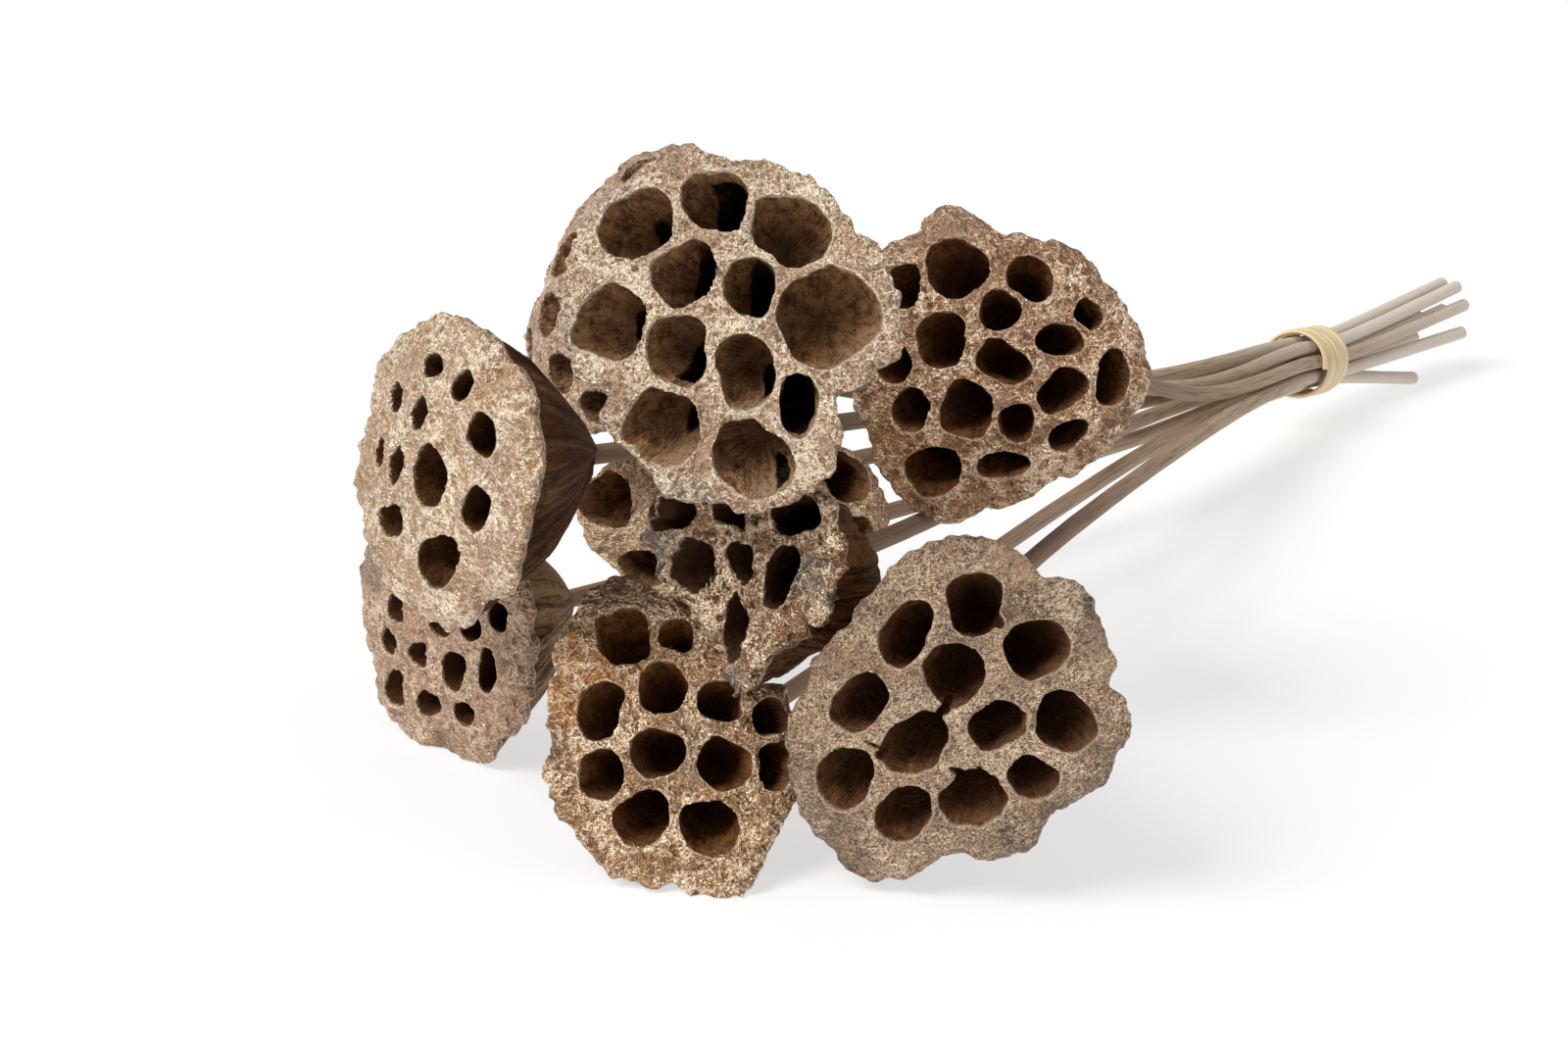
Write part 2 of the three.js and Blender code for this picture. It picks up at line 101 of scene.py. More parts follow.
PODS = [
    dict(
        name="left", slot="gold_pod", at=(-48, -248, 83), turn=-18, tilt=5, depth=37, dome=3,
        rim=(32, 34, 36, 36, 35, 33.5, 33.5, 34.5, 36.5, 38.5, 38, 38, 36, 33, 31, 31),
        notches=((59, 1.5, 6), (296, 3, 8)),
        pits=(
            (-3.5, 23, 6.5, 5, 26), (7.8, 21, 8.7, 5.5, 43), (-16.7, 13.3, 5, 7, -37),
            (-6.7, 12.5, 5.3, 8.8, -30), (15.4, 12, 8.7, 9), (-23.5, -0.5, 5, 7, -20),
            (-15.3, -1.5, 6.2, 9.2, -35), (-1.4, -0.5, 11.7, 14, -23), (15, -4, 8, 11.5, -31),
            (-17.5, -14.7, 11.8, 7, 14), (1, -19, 16, 11, 35),
        ),
        stem=dict(slot=105, gather=(-3, 5), cut=(12, 22.5, 106)),
    ),
    dict(
        name="low_left", slot="brown_pod", at=(-76, -215, 31), turn=-12, tilt=3, depth=36, dome=2,
        rim=(29, 31, 33, 32, 32, 31, 32, 35, 33.5, 33, 37, 35, 33, 32.5, 31, 30),
        pits=(
            (-8.5, -7.5, 7.6, 6.5, 12), (4.4, -8.4, 7.7, 10, -18), (15.7, -5.7, 5.8, 11, -8),
            (-18, -18.6, 6.8, 10.7, -23), (-5.6, -19, 8.3, 6.2, 28), (7.6, -18, 7.5, 6, 19),
            (-20.5, -7, 6, 7), (-17, 2, 7, 7), (10.5, 4, 7, 7), (19, 8.5, 6, 6.5), (0, 3, 8, 7),
            (-16.5, 14, 8, 8), (-4.5, 14, 9, 9), (7.5, 15, 9, 9), (-7.5, 24.5, 8, 7), (8, 25.5, 8, 6),
        ),
        stem=dict(slot=240, gather=(-12, -16.5), cut=(8, 3, 92)),
    ),
    dict(
        name="top", slot="pale_gold_pod", at=(16, -233, 119), turn=18, tilt=13, depth=39, dome=-3,
        pit_depth=11,
        rim=(35, 34, 34, 35, 36, 39, 40, 40, 38, 35, 35, 36, 37, 37, 33, 29),
        notches=((206, 4.5, 5), (331, 5.5, 7)),
        pits=(
            (-22.3, 20.8, 16, 12.6, 30), (-5.7, 26, 14.5, 11, -7), (10.1, 20.9, 17.3, 12.5, -17),
            (-11.8, 11.4, 14, 11.5, 39), (1.9, 9.2, 10.4, 12.4, 3), (-26.8, 0.4, 13, 15.2, -23),
            (-12.4, -4.2, 12.2, 14.6, 8), (1.9, -7.8, 11.6, 15.4, 13), (18.4, 4.2, 20, 19.6, 32),
            (13.4, -13.8, 7.8, 12.4), (-14.9, -20.3, 15.3, 15), (4.2, -25.5, 17.5, 14, -28),
        ),
        hollows=(
            (-22.9, 22.5, 3.5, 6, 20, 4, 30), (-5.1, 30.5, 6, 9.5, -25, 4, 30),
            (-10.7, 11.9, 6, 11, -10, 3, 30), (2.6, 10, 5, 10.5, 0, 3, 30), (-28.1, 0.2, 3.5, 6, 0, 5, 30),
            (-12.6, -9.1, 4, 8.5, -8, 4, 30), (6.3, -12.8, 2.5, 7, 10, 6, 30),
            (13.4, -15.5, 7.5, 11.5, 0, 2, 30), (-13.1, -22.8, 3.5, 5, 0, 4, 28),
            (11.2, -32.3, 2.4, 3.2, 0, 3, 20),
        ),
        stem=dict(slot=60, gather=(5, 3), cut=(18, 22, 104)),
    ),
    dict(
        name="top_back", slot="brown_pod", at=(-65, -158, 103), turn=-30, tilt=28, depth=36, dome=12,
        pit_depth=12,
        rim=(38, 38, 39, 40, 40, 39, 38, 38, 38, 39, 39, 38, 37, 37, 37, 38),
        pits=(
            (-21, 24, 13, 11), (-6, 29.5, 13, 10), (10, 27, 12, 11), (24, 20, 11, 11), (-27, 9.5, 11, 11),
            (-4, 16, 13, 11), (9, 13, 11, 11), (-12, 3, 14, 12), (4, 0, 12, 11), (18, -1, 12, 12),
            (31, 5, 9, 12), (-26, -6.5, 12, 11), (-8, -12, 13, 11), (8, -12, 11, 9), (22, -14, 12, 11),
            (-21, -22, 12, 11), (4, -23.5, 12, 10), (18.5, -27, 12, 9), (-6, -32, 9, 6.5),
        ),
        stem=dict(slot=150, gather=(-10.5, 1), cut=(5.5, 17, 98)),
    ),
    dict(
        name="middle_back", slot="brown_pod", at=(-39, -152, 47), turn=22, tilt=8, depth=36, dome=2,
        pit_depth=12,
        rim=(41, 40, 31, 21, 19, 21, 25, 33, 38, 32, 28.5, 32, 34, 30, 31, 38),
        pits=(
            (-29, 4, 14, 14), (31, 13, 12, 13), (-20, -13, 12, 10), (-12, 2, 12, 12), (3, 10, 12, 12),
            (16, 14, 11, 12), (18, -2, 12, 12), (3, -6, 12, 12), (33, -3, 10, 12), (-6, -20, 12, 11),
            (9, -20, 12, 11),
        ),
        stem=dict(slot=195, gather=(-14, -5.5), cut=(6, 10, 100)),
    ),
    dict(
        name="middle", slot="silver_pod", at=(15, -228.5, 66.5), turn=-7, tilt=8, depth=34, dome=-2,
        crease=2.5, swell=(-35, 10), pit_depth=20,
        rim=(23.5, 26, 27.5, 21, 18, 18, 21, 28, 29, 23.5, 20.5, 22, 28.5, 21, 18.5, 21.5),
        pits=(
            (-21, 8.5, 13, 8, 24), (-15.5, -2.5, 10, 11), (-3, 0.5, 9, 9.5), (8.2, 0.5, 7.5, 15, -17),
            (-2.9, -13.7, 7.4, 14, -5), (11.5, 14, 13, 8, 20), (-6, 11, 8, 6.5),
        ),
        hollows=(
            (-3, 0.5, 7.5, 8, 0, 3, 28), (8.2, 0.5, 6.5, 13.5, -17, 4, 28), (11.5, 14, 11.5, 7, 20, 3, 28),
            (-6, 11, 7, 5.5, 0, 2, 28),
        ),
        stem=dict(slot=350, reach=INNER_REACH, straight=8, gather=(-4.5, -7.5), cut=(14, 13, 104)),
    ),
    dict(
        name="bottom", slot="gold_pod", at=(4, -238, 29.5), turn=28, tilt=28, depth=34, dome=1,
        rim=(26, 25, 21.5, 21.5, 28.5, 38, 36, 31, 29, 30, 31, 32.5, 33.5, 36, 31, 28),
        notches=((270, 1.5, 3), (154, 1.5, 4)),
        pits=(
            (-12.4, 21.5, 11.5, 13, 12), (-1, 22, 7.5, 8), (-3.5, 10.2, 10, 11.5, 10),
            (-16.8, 5.5, 9.7, 12.6, -18), (9, 7.8, 9.5, 9), (20, 4.8, 8.5, 8.5), (-4.3, -3.5, 11.5, 10, -6),
            (-16, -8.3, 9.5, 10.4), (10.2, -5.7, 11.5, 10.7, -22), (21, -5.5, 8, 10.5),
            (-7.1, -17.5, 12.7, 10.7, 36), (7.5, -19, 13, 11.2, -4),
        ),
        stem=dict(slot=285, straight=8, gather=(3, -13), cut=(13, -10.5, 80)),
    ),
    dict(
        name="bottom_right", slot="taupe_pod", at=(64, -225, 44), turn=20, tilt=0, depth=40, dome=2,
        rim=(36, 34, 38, 37, 38, 33, 31, 30, 34, 39, 44, 45, 35, 34.5, 31.5, 34),
        notches=((61, 4, 4), (12, 2.5, 4), (268, 1.5, 5), (143, 2, 4)),
        pits=(
            (-10.7, 16.2, 9.4, 15, -23), (3.2, 23.9, 10.7, 13.7, -9), (16, 15, 13.5, 11.6, 44),
            (-0.5, 8.6, 12, 13.4, -27), (-20, 0.5, 9.7, 14.8, -37), (-8.3, -7.7, 11.3, 15.6, -45),
            (8.5, -2.3, 12.6, 9.7, 37), (22.4, -0.6, 11.8, 13.3, 44), (-23, -16.8, 11.3, 14.5, -27),
            (-10.7, -24, 10.2, 15, -28), (4, -19, 14.5, 12.3, 36), (16, -13.5, 10.8, 9.8, -13),
        ),
        hollows=(
            (-14.5, -10.5, 5, 2.5, 20, -3, 9), (-17, -8.5, 5, 0.9, -20, -3, 3),
            (-2.5, 0.5, 3.5, 2, 45, -3, 8), (7.5, 20.5, 4, 3, -30, -3, 9), (0.5, -12.8, 4, 1.5, -15, -3, 6),
        ),
        stem=dict(slot=330, gather=(18, -6), cut=(23, 6, 100)),
    ),
    dict(
        name="right", slot="bronze_pod", at=(33, -146, 95), turn=22, tilt=10, depth=40, dome=6,
        rim=(35, 32, 31.5, 31, 31, 38, 38.5, 38, 36, 35, 38, 40.5, 34.5, 30, 31.5, 33),
        notches=((124, 2, 3), (245, 1.2, 3)),
        pits=(
            (-11, 22.2, 14.3, 13.5, -25), (-23, 17.5, 10, 10), (6.3, 20.2, 11.2, 8.5, -45),
            (0, 13, 9.2, 9.3), (19.8, 12.6, 7.3, 6, -44), (-13.2, 5.5, 11.3, 12.6), (13.4, 6.7, 11.2, 7.3),
            (1, 1.2, 12.8, 8.4, -30), (-24, -0.5, 8.5, 9), (14.5, -5, 12.3, 8.3, 35),
            (25.7, -1.8, 8.4, 13, -6), (-20, -10.8, 9, 11.2, -16), (-6.9, -10.2, 11.6, 13.3, -18),
            (4.6, -12.6, 8.3, 9.2), (16.2, -15.2, 10, 6.3, 36), (-14.5, -25, 14.3, 11.3, 35),
            (1.8, -22.7, 12.2, 6.4, 6),
        ),
        stem=dict(slot=15, gather=(11.5, 2), cut=(21, 15.5, 106)),
    ),
]

# Node trees, written as sums


class Value:
    """One output of a node. Sums of values add the nodes that work them out."""

    def __init__(self, plan, socket):
        self.plan = plan
        self.socket = socket

    def __add__(self, other):
        return calc("ADD", self, other)

    def __radd__(self, other):
        return calc("ADD", other, self)

    def __sub__(self, other):
        return calc("SUBTRACT", self, other)

    def __rsub__(self, other):
        return calc("SUBTRACT", other, self)

    def __mul__(self, other):
        return calc("MULTIPLY", self, other)

    def __rmul__(self, other):
        return calc("MULTIPLY", other, self)

    def __truediv__(self, other):
        return calc("DIVIDE", self, other)

    def __rtruediv__(self, other):
        return calc("DIVIDE", other, self)

    def __pow__(self, other):
        return calc("POWER", self, other)


class Plan:
    """A node tree under construction."""

    def __init__(self, tree):
        self.tree = tree

    def node(self, kind, inputs=(), **settings):
        node = self.tree.nodes.new(kind)
        for setting, value in settings.items():
            setattr(node, setting, value)
        pairs = inputs.items() if isinstance(inputs, dict) else enumerate(inputs)
        for key, value in pairs:
            self.feed(node.inputs[key], value)
        return node

    def put(self, kind, inputs=(), pick=0, **settings):
        return Value(self, self.node(kind, inputs, **settings).outputs[pick])

    def feed(self, socket, value):
        if isinstance(value, Value):
            self.tree.links.new(value.socket, socket)
        elif value is not None:
            socket.default_value = value


def calc(operation, *terms):
    plan = next(term.plan for term in terms if isinstance(term, Value))
    return plan.put("ShaderNodeMath", terms, operation=operation)


def ease(value, low, high):
    """Goes smoothly from 0 to 1 while the value goes from low to high."""
    return value.plan.put("ShaderNodeMapRange", (value, low, high), interpolation_type="SMOOTHSTEP")


def joined(x, y, z):
    plan = next(term.plan for term in (x, y, z) if isinstance(term, Value))
    return plan.put("ShaderNodeCombineXYZ", (x, y, z))


def parts(vector):
    node = vector.plan.node("ShaderNodeSeparateXYZ", (vector,))
    return [Value(vector.plan, socket) for socket in node.outputs]


def moved(vector, offset):
    return vector.plan.put("ShaderNodeVectorMath", (vector, offset), operation="ADD")


def stretched(vector, factors):
    return vector.plan.put("ShaderNodeVectorMath", (vector, factors), operation="MULTIPLY")


def noise(vector, scale, detail=2.0, roughness=0.5, pick=0):
    terms = (vector, None, scale, detail, roughness)
    return vector.plan.put("ShaderNodeTexNoise", terms, pick=pick)


class Shape(Plan):
    """A Geometry Nodes tree with named inputs, from one geometry to another."""

    def __init__(self, name, inputs):
        super().__init__(bpy.data.node_groups.new(name, "GeometryNodeTree"))
        interface = self.tree.interface
        interface.new_socket("Geometry", in_out="OUTPUT", socket_type="NodeSocketGeometry")
        interface.new_socket("Geometry", in_out="INPUT", socket_type="NodeSocketGeometry")
        for label, kind in inputs.items():
            interface.new_socket(label, in_out="INPUT", socket_type=f"NodeSocket{kind}")
        self.start = self.node("NodeGroupInput")

    def given(self, label):
        return Value(self, self.start.outputs[label])

    def position(self):
        return self.put("GeometryNodeInputPosition")

    def named(self, label, kind="FLOAT"):
        return self.put("GeometryNodeInputNamedAttribute", {"Name": label}, data_type=kind)

    def sample(self, geometry, value, index, kind="FLOAT_VECTOR"):
        terms = {"Geometry": geometry, "Value": value, "Index": index}
        return self.put("GeometryNodeSampleIndex", terms, data_type=kind)

    def store(self, geometry, label, value, kind="FLOAT"):
        terms = {"Geometry": geometry, "Name": label, "Value": value}
        return self.put("GeometryNodeStoreNamedAttribute", terms, data_type=kind)

    def finish(self, geometry):
        smooth = self.put("GeometryNodeSetShadeSmooth", {"Geometry": geometry})
        whole = self.put("GeometryNodeRealizeInstances", {"Geometry": smooth})
        terms = {"Geometry": whole, "Material": self.given("Material")}
        dressed = self.put("GeometryNodeSetMaterial", terms)
        self.node("NodeGroupOutput", (dressed,))
        return self.tree


def baked(name, mesh, tree, values):
    """The plain mesh object that a tree makes of a mesh."""
    rough = bpy.data.objects.new(name + "_layout", mesh)
    bpy.context.scene.collection.objects.link(rough)
    modifier = rough.modifiers.new("shape", "NODES")
    modifier.node_group = tree
    for item in tree.interface.items_tree:
        if item.in_out == "INPUT" and item.name in values:
            modifier[item.identifier] = values[item.name]
    depsgraph = bpy.context.evaluated_depsgraph_get()
    result = bpy.data.meshes.new_from_object(rough.evaluated_get(depsgraph), depsgraph=depsgraph)
    result.name = name
    bpy.data.objects.remove(rough)
    piece = bpy.data.objects.new(name, result)
    bpy.context.scene.collection.objects.link(piece)
    return piece


def share(a, b):
    """The same pseudo-random share, 0 to 1, for the same pair of numbers."""
    wide = math.sin(a * 12.9898 + b * 78.233) * 43758.5453
    return wide - math.floor(wide)


# Pod heads


def two_waves(angle, counts, start):
    few, many = WAVE_SHARES
    if isinstance(angle, Value):
        slow = calc("COSINE", angle * counts[0] + start)
        quick = calc("COSINE", angle * counts[1] + start * 2)
    else:
        slow = math.cos(counts[0] * angle + start)
        quick = math.cos(counts[1] * angle + 2 * start)
    return slow * few + quick * many


def catmull_rom(a, b, c, d, t):
    return b + 0.5 * t * (c - a + t * (2 * a - 5 * b + 4 * c - d + t * (3 * (b - c) + d - a)))


def rim_radius(pod, angle):
    count = len(pod["rim"])
    place = angle / math.tau * count % count
    step = math.floor(place)
    near = [pod["rim"][(step + shift) % count] for shift in (-1, 0, 1, 2)]
    return catmull_rom(*near, place - step)


def face_height(pod, angle, reach):
    crease = pod.get("crease", 0) * math.exp(-(((reach * math.cos(angle) - CREASE_AT) / CREASE_WIDTH) ** 2))
    wave = EDGE_HEIGHT * two_waves(angle, EDGE_WAVES, pod["wave_start"])
    return pod["dome"] * (1 - reach ** 2) + wave * reach ** 3 - crease


def wavy_rim(pod, angle):
    """Rim radius with its small lobes and its notches."""
    radius = rim_radius(pod, angle) + LOBE_HEIGHT * two_waves(angle, LOBES, pod["lobe_start"])
    for middle, depth, width in pod.get("notches", ()):
        off = (math.degrees(angle) - middle + 180) % 360 - 180
        radius -= depth * math.exp(-((off / width) ** 2))
    return radius


def pod_layout(pod):
    """Points that carry a pod's rim radii and its pits to the tree."""
    angles = [math.tau * step / RIM_STEPS for step in range(RIM_STEPS)]
    rows = [((wavy_rim(pod, angle), 0, 0), (0, 0, 0), (0, 0, 0)) for angle in angles]
    floor = pod.get("pit_depth", PIT_DEPTH)
    cuts = [(*pit[:4], *(pit[4:] or (0,)), PIT_TOP, floor) for pit in pod["pits"]]
    cuts += pod.get("hollows", ())
    for place, (x, y, width, height, turn, top, bottom) in enumerate(cuts):
        angle = math.atan2(y, x)
        mouth = face_height(pod, angle, math.hypot(x, y) / rim_radius(pod, angle))
        size = (width / 2, height / 2, math.radians(turn))
        rows.append(((x, y, mouth), size, (top, bottom, math.tau * share(pod["seed"], 200 + place))))
    mesh = bpy.data.meshes.new(pod["name"] + "_layout")
    mesh.from_pydata([row[0] for row in rows], [], [])
    for label, column in (("size", 1), ("span", 2)):
        data = mesh.attributes.new(label, "FLOAT_VECTOR", "POINT").data
        for point, row in zip(data, rows):
            point.vector = row[column]
    return mesh


def pod_tree():
    """A pod as the places where a sum of its rim, flank, face and pits is zero."""
    shape = Shape("lotus_pod", {
        "Pits": "Int", "Hollows": "Int", "Depth": "Float", "Dome": "Float", "Crease": "Float",
        "Wave Start": "Float", "Seed": "Float", "Low": "Vector", "High": "Vector", "Swell": "Float",
        "Swell Angle": "Float", "Crumple": "Float", "Ribs": "Float", "Turn": "Rotation", "Place": "Vector",
        "Material": "Material",
    })
    layout = Value(shape, shape.start.outputs["Geometry"])
    place = shape.position()
    x, y, z = parts(place)
    depth = shape.given("Depth")
    own = moved(place, joined(shape.given("Seed") * SEED_STEP[0], shape.given("Seed") * SEED_STEP[1], 0))
    angle = calc("ARCTAN2", y, x)
    radius = calc("SQRT", x * x + y * y)

    # Rim
    step = calc("WRAP", angle * (RIM_STEPS / math.tau), RIM_STEPS, 0)
    whole = calc("FLOOR", step)
    near = []
    for shift in (-1, 0, 1, 2):
        index = calc("FLOORED_MODULO", whole + shift, RIM_STEPS)
        near.append(parts(shape.sample(layout, shape.position(), index))[0])
    rim = catmull_rom(*near, step - whole)
    around = moved(
        joined(calc("COSINE", angle), calc("SINE", angle), z * 0.004),
        joined(shape.given("Seed") * 31, 0, 0))
    wrinkle = noise(around, 6, 2, 0.5) - 0.5
    fine_wrinkle = noise(around, 17, 1, 0.5) - 0.5
    rim = rim + RIM_WRINKLE * wrinkle + FINE_RIM_WRINKLE * fine_wrinkle
    reach = radius / rim

    # Flank
    wave = EDGE_HEIGHT * two_waves(angle, EDGE_WAVES, shape.given("Wave Start"))
    fall = calc("MINIMUM", calc("MAXIMUM", (wave - z) / depth, 0), 1)
    left = 1 - fall ** FLANK_POWER
    towards = calc("MAXIMUM", calc("COSINE", angle - shape.given("Swell Angle")), 0)
    swell = 4 * shape.given("Swell") * towards * towards * left * (1 - left)
    overhang = ease(fall, 0.02, 0.14) * (1 - fall) * OVERHANG
    ribs = (wrinkle * 5 + fine_wrinkle * 2) * shape.given("Ribs") * (1 - fall)
    dents = (noise(own, 0.1, 3, 0.55) - 0.5) * (1.2 + shape.given("Crumple")) * (1 - fall)
    flank_radius = (rim - NECK_RADIUS) * left + NECK_RADIUS + swell - overhang + ribs + dents
    beyond_flank = (radius - flank_radius) * FLANK_SLANT

    # Pits: the nearest and the second nearest of them, and the nearest hollow
    enter = shape.node("GeometryNodeRepeatInput")
    leave = shape.node("GeometryNodeRepeatOutput")
    enter.pair_with_output(leave)
    leave.repeat_items.clear()
    kept = ("Nearest", "Second", "Hollow")
    for label in kept:
        leave.repeat_items.new("FLOAT", label)
        shape.feed(enter.inputs[label], FAR)
    leave.repeat_items.new("VECTOR", "Ray")
    shape.feed(enter.inputs["Iterations"], shape.given("Pits") + shape.given("Hollows"))
    turns = Value(shape, enter.outputs["Iteration"])
    index = turns + RIM_STEPS
    pit_x, pit_y, mouth = parts(shape.sample(layout, shape.position(), index))
    half_width, half_height, turn = parts(shape.sample(layout, shape.named("size", "FLOAT_VECTOR"), index))
    top, bottom, phase = parts(shape.sample(layout, shape.named("span", "FLOAT_VECTOR"), index))
    bend_x, bend_y, _ = parts(noise(own, 0.15, 2, 0.5, pick=1))
    under = mouth - z
    lean = 1 - under * (PIT_LEAN / depth)
    off_x = x + (bend_x - 0.5) * PIT_BEND - pit_x * lean
    off_y = y + (bend_y - 0.5) * PIT_BEND - pit_y * lean
    cosine = calc("COSINE", turn)
    sine = calc("SINE", turn)
    across = calc("ABSOLUTE", (off_x * cosine + off_y * sine) / half_width)
    upward = calc("ABSOLUTE", (off_y * cosine - off_x * sine) / half_height)
    bearing = calc("ARCTAN2", off_y, off_x)
    lobed = 1 + PIT_LOBE * calc("COSINE", bearing * 3 + phase)
    lobed = lobed + PIT_LOBE * 0.6 * calc("COSINE", bearing * 4 - phase)
    from_middle = (across ** PIT_SQUARENESS + upward ** PIT_SQUARENESS) ** (1 / PIT_SQUARENESS) * lobed
    sunk = calc("MINIMUM", calc("MAXIMUM", under / bottom, 0), 1)
    narrowed = calc("SQRT", 1.04 - sunk ** 2.4)
    off = (from_middle - narrowed) * calc("MINIMUM", half_width, half_height)
    off = calc("MAXIMUM", calc("MAXIMUM", off, under - bottom), top - under)
    past_pits = calc("GREATER_THAN", turns, shape.given("Pits") - 0.5) * FAR
    off_pit = off + past_pits
    nearest, second, hollow = (Value(shape, enter.outputs[label]) for label in kept)
    ray = joined(calc("COSINE", bearing), calc("SINE", bearing), phase)
    kept_ray = Value(shape, enter.outputs["Ray"])
    terms = {"Switch": calc("LESS_THAN", off_pit, nearest), "False": kept_ray, "True": ray}
    ray = shape.put("GeometryNodeSwitch", terms, input_type="VECTOR")
    shape.feed(leave.inputs["Ray"], ray)
    shape.feed(leave.inputs["Second"], calc("MINIMUM", second, calc("MAXIMUM", nearest, off_pit)))
    shape.feed(leave.inputs["Nearest"], calc("MINIMUM", nearest, off_pit))
    shape.feed(leave.inputs["Hollow"], calc("MINIMUM", hollow, off + FAR - past_pits))
    nearest, second, hollow = (Value(shape, leave.outputs[label]) for label in kept)
    between_pits = (nearest - second + SEPTUM) / 2
    from_pit = calc("MINIMUM", calc("MAXIMUM", nearest, between_pits), hollow)
    fibres = noise(stretched(own, (1, 1, 0.16)), 0.9, 2, 0.6) - 0.5
    from_pit = calc("MAXIMUM", from_pit + fibres * 0.5, beyond_flank + PIT_WALL)

    # Face
    crease_off = (reach * calc("COSINE", angle) - CREASE_AT) / CREASE_WIDTH
    crease = shape.given("Crease") * calc("EXPONENT", 0 - crease_off * crease_off)
    roll = calc("MAXIMUM", reach - ROLL_FROM, 0)
    lip = calc("EXPONENT", 0 - from_pit ** 2) * LIP_HEIGHT
    edge = ease(reach, 0.65, 0.95)
    folds = 0.1 - calc("ABSOLUTE", noise(own, 0.12, 3, 0.55) - 0.5)
    crumple = (noise(own, 0.26, 3, 0.6) - 0.5) * (0.5 + edge) + noise(own, 0.07, 1) - 0.5 + folds * 4
    face_top = shape.given("Dome") * (1 - reach * reach) + wave * reach ** 3
    face_top = face_top - crease - roll * roll * ROLL_DROP
    crumple = crumple + edge * (wrinkle * 1.2 + fine_wrinkle * 0.5)
    face_top = face_top + lip + crumple * shape.given("Crumple")
    face_top = face_top + edge * (wrinkle * 1.6 + fine_wrinkle * 0.2)
    below_face = face_top - z
    body = calc("SMOOTH_MAX", 0 - below_face, beyond_flank, 1.1)
    body = calc("MAXIMUM", body, 0 - z - depth)
    solid = calc("SMOOTH_MAX", body, 0 - from_pit, 0.4)

    # Mesh
    low, high = shape.given("Low"), shape.given("High")
    spans = [top_end - low_end for low_end, top_end in zip(parts(low), parts(high))]
    steps = [calc("CEIL", span / VOXEL) for span in spans]
    volume = shape.put("GeometryNodeVolumeCube", {
        "Density": 0 - solid, "Background": -1.0, "Min": low, "Max": high,
        "Resolution X": steps[0], "Resolution Y": steps[1], "Resolution Z": steps[2],
    })
    mesh = shape.put("GeometryNodeVolumeToMesh", {"Volume": volume, "Threshold": 0.0, "Adaptivity": 0.0})
    mesh = shape.store(mesh, "pod_place", own, "FLOAT_VECTOR")
    mesh = shape.store(mesh, "from_pit", from_pit)
    mesh = shape.store(mesh, "from_hollow", hollow + fibres * 0.5)
    mesh = shape.store(mesh, "below_face", below_face)
    mesh = shape.store(mesh, "reach", reach)
    mesh = shape.store(mesh, "around", around, "FLOAT_VECTOR")
    mesh = shape.store(mesh, "pit_ray", Value(shape, leave.outputs["Ray"]), "FLOAT_VECTOR")
    mesh = shape.put("GeometryNodeTransform", {
        "Geometry": mesh, "Translation": shape.given("Place"), "Rotation": shape.given("Turn"),
        "Scale": (MM, MM, MM),
    })
    x, y, z = parts(shape.position())
    on_table = joined(x, y, calc("MAXIMUM", z, 0))
    mesh = shape.put("GeometryNodeSetPosition", {"Geometry": mesh, "Position": on_table})
    return shape.finish(mesh)


def facing(pod):
    """A pod's own frame: x to the right and y upwards on its face, z out of the face."""
    turn = math.radians(pod["turn"])
    tilt = math.radians(pod["tilt"])
    out = Vector((math.sin(turn) * math.cos(tilt), -math.cos(turn) * math.cos(tilt), math.sin(tilt)))
    up = (Vector((0, 0, 1)) - out * out.z).normalized()
    frame_axes = Matrix((up.cross(out), up, out)).transposed()
    return Matrix.Translation(Vector(pod["at"]) + BUNCH_SHIFT) @ frame_axes.to_4x4()


def make_pod(pod, tree, skin, crumple, ribs):
    placed = facing(pod)
    reach = max(pod["rim"]) + POD_MARGIN
    top = float(max(pod["dome"], 0) + POD_MARGIN)
    swell_angle, swell = pod.get("swell", (0, 0))
    return baked(pod["name"] + "_pod", pod_layout(pod), tree, {
        "Pits": len(pod["pits"]), "Hollows": len(pod.get("hollows", ())),
        "Depth": float(pod["depth"]), "Dome": float(pod["dome"]), "Crease": float(pod.get("crease", 0)),
        "Wave Start": pod["wave_start"], "Seed": float(pod["seed"]),
        "Swell": float(swell), "Swell Angle": math.radians(swell_angle),
        "Low": (-reach, -reach, -pod["depth"] - 2.0), "High": (reach, reach, top),
        "Crumple": crumple, "Ribs": ribs, "Turn": placed.to_euler(), "Place": placed.translation * MM,
        "Material": skin,
    })


# Stems and band


def along_bunch(right, up, along):
    """A place measured from the middle of the tie, across the bunch and along it."""
    slope = Matrix.Rotation(-math.radians(TIE_SLOPE), 3, "X")
    return slope @ Vector((right, along, up)) + TIE_AT + BUNCH_SHIFT


def centripetal(points, per_span):
    """Points on a smooth curve through the given ones."""
    ends = [2 * points[0] - points[1], *points, 2 * points[-1] - points[-2]]
    curve = []
    for p0, p1, p2, p3 in zip(ends, ends[1:], ends[2:], ends[3:]):
        d0, d1, d2 = (math.sqrt((b - a).length) for a, b in ((p0, p1), (p1, p2), (p2, p3)))
        leave = ((p1 - p0) / d0 - (p2 - p0) / (d0 + d1) + (p2 - p1) / d1) * d1
        arrive = ((p2 - p1) / d1 - (p3 - p1) / (d1 + d2) + (p3 - p2) / d2) * d1
        for step in range(per_span):
            t = step / per_span
            bend = (3 * (p2 - p1) - 2 * leave - arrive) * t ** 2 + (2 * (p1 - p2) + leave + arrive) * t ** 3
            curve.append(p1 + leave * t + bend)
    return curve + [points[-1]]


